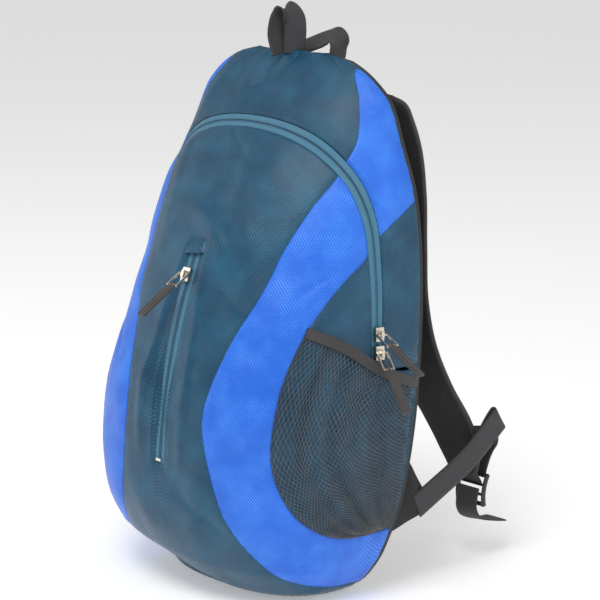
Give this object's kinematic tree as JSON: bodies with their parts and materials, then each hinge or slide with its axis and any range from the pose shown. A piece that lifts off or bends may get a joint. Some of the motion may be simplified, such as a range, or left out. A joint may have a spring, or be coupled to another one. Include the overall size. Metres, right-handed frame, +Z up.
{
  "type": "daypack",
  "caption": "Soft zip-up daypack with hood, arched main zip, wave side panels, mesh side pockets, front zip pocket and padded shoulder straps.",
  "frame": {"origin": "middle of the base's flat patch, where the bag stands", "axes": "+Z up to the hood, -Y out of the front with the pocket zip, +Y towards the wearer's back, +X to the side where the main zip's sliders rest"},
  "size_m": [0.3467, 0.3283, 0.5188],
  "materials": {
    "teal_cloth": "woven, satin sheen",
    "blue_cloth": "woven, satin sheen",
    "air_mesh": "spacer mesh",
    "foam": "closed-cell foam",
    "edge_tape": "folded tape",
    "zip_tape": "woven tape",
    "zip_coil": "nylon coil",
    "nickel": "plated, polished",
    "puller_ribbon": "matte, ribbed",
    "lining": "coated lining",
    "pocket_net": "open net",
    "webbing": "woven webbing",
    "black_cloth": "plain weave",
    "buckle_plastic": "moulded, satin"
  },
  "bodies": {
    "bag": {"base_panel": "teal_cloth", "front_panel": "teal_cloth", "hood_panel": "teal_cloth", "back_panel": "air_mesh", "edge_binding": "edge_tape", "back_foam": "foam", "main_zip_tape_rear": "zip_tape", "main_zip_tape_legs": "zip_tape", "main_zip_coil_rear": "zip_coil", "main_zip_coil_legs": "zip_coil", "pocket_zip_tape": "zip_tape", "pocket_zip_coil": "zip_coil", "pocket_zip_stop": "nickel", "front_pocket_bag": "lining", "front_fold": "teal_cloth", "wave_panel_right": "blue_cloth", "wave_fold_right": "blue_cloth", "side_panel_right": "teal_cloth", "rear_gusset_right": "teal_cloth", "upper_side_right": "blue_cloth", "pocket_mesh_right": "pocket_net", "pocket_binding_right": "webbing", "strap_wing_right": "black_cloth", "lower_webbing_right": "webbing", "wave_panel_left": "blue_cloth", "wave_fold_left": "blue_cloth", "side_panel_left": "teal_cloth", "rear_gusset_left": "teal_cloth", "upper_side_left": "blue_cloth", "pocket_mesh_left": "pocket_net", "pocket_binding_left": "webbing", "strap_wing_left": "black_cloth", "lower_webbing_left": "webbing"},
    "flap": {"flap_panel": "teal_cloth", "flap_wave_right": "blue_cloth", "flap_wave_left": "blue_cloth", "main_zip_tape_flap": "zip_tape", "main_zip_coil_flap": "zip_coil"},
    "lower_slider": {"main_lower_slider": "nickel"},
    "lower_puller": {"main_lower_pull_frame": "nickel", "main_lower_pull_ribbon": "puller_ribbon"},
    "upper_slider": {"main_upper_slider": "nickel"},
    "upper_puller": {"main_upper_pull_frame": "nickel", "main_upper_pull_ribbon": "puller_ribbon"},
    "pocket_slider": {"pocket_slider": "nickel"},
    "pocket_puller": {"pocket_pull_frame": "nickel", "pocket_pull_ribbon": "puller_ribbon"},
    "strap_right": {"shoulder_strap_right": "air_mesh"},
    "strap_left": {"shoulder_strap_left": "air_mesh"},
    "buckle_right": {"ladder_lock_right": "buckle_plastic", "webbing_tail_right": "webbing"},
    "buckle_left": {"ladder_lock_left": "buckle_plastic", "webbing_tail_left": "webbing"},
    "hang_loop": {"hang_loop": "webbing"},
    "grab_handle": {"grab_handle": "webbing"}
  },
  "joints": [
    {"name": "flap_fold", "type": "hinge", "parent": "bag", "child": "flap", "pos_m": [0, 0.0204, 0.3], "axis": [1, 0, 0], "range_deg": [0, 40], "deforming": ["front_fold", "wave_fold_right", "wave_fold_left"]},
    {"name": "lower_slider_travel", "type": "slide", "parent": "bag", "child": "lower_slider", "axis": [-0.0979, 0.0652, 0.9931], "range_m": [0, 0.022]},
    {"name": "upper_slider_travel", "type": "slide", "parent": "lower_slider", "child": "upper_slider", "axis": [-0.0979, 0.0652, 0.9931], "range_m": [0, 0.026]},
    {"name": "lower_puller_swing", "type": "hinge", "parent": "lower_slider", "child": "lower_puller", "pos_m": [0.14575, 0.01484, 0.22676], "axis": [-0.1047, -0.993, 0.0549], "range_deg": [-12, 22]},
    {"name": "upper_puller_swing", "type": "hinge", "parent": "upper_slider", "child": "upper_puller", "pos_m": [0.14419, 0.01589, 0.24265], "axis": [-0.1047, -0.993, 0.0549], "range_deg": [-18, 85]},
    {"name": "pocket_slider_travel", "type": "hinge", "parent": "bag", "child": "pocket_slider", "pos_m": [0, 0.4056, 0.092], "axis": [1, 0, 0], "range_deg": [-0.6, 16.2]},
    {"name": "pocket_puller_swing", "type": "hinge", "parent": "pocket_slider", "child": "pocket_puller", "pos_m": [0, -0.07988, 0.2884], "axis": [-1, 0, 0], "range_deg": [-22, 90]},
    {"name": "strap_swing_right", "type": "hinge", "parent": "bag", "child": "strap_right", "pos_m": [0.08, 0.06621, 0.438], "axis": [1, 0, 0], "range_deg": [-5, 6], "deforming": ["lower_webbing_right"]},
    {"name": "strap_swing_left", "type": "hinge", "parent": "bag", "child": "strap_left", "pos_m": [-0.08, 0.06621, 0.438], "axis": [1, 0, 0], "range_deg": [-5, 6], "deforming": ["lower_webbing_left"]},
    {"name": "buckle_tilt_right", "type": "hinge", "parent": "strap_right", "child": "buckle_right", "pos_m": [0.124, 0.1645, 0.082], "axis": [1, 0, 0], "range_deg": [-18, 18]},
    {"name": "buckle_tilt_left", "type": "hinge", "parent": "strap_left", "child": "buckle_left", "pos_m": [-0.124, 0.1645, 0.082], "axis": [1, 0, 0], "range_deg": [-18, 18]},
    {"name": "hang_loop_flop", "type": "hinge", "parent": "bag", "child": "hang_loop", "pos_m": [0.004, 0.04678, 0.4728], "axis": [1, 0, 0], "range_deg": [-8, 18]},
    {"name": "grab_handle_flop", "type": "hinge", "parent": "bag", "child": "grab_handle", "pos_m": [0, 0.06408, 0.446], "axis": [1, 0, 0], "range_deg": [-60, 0]}
  ]
}
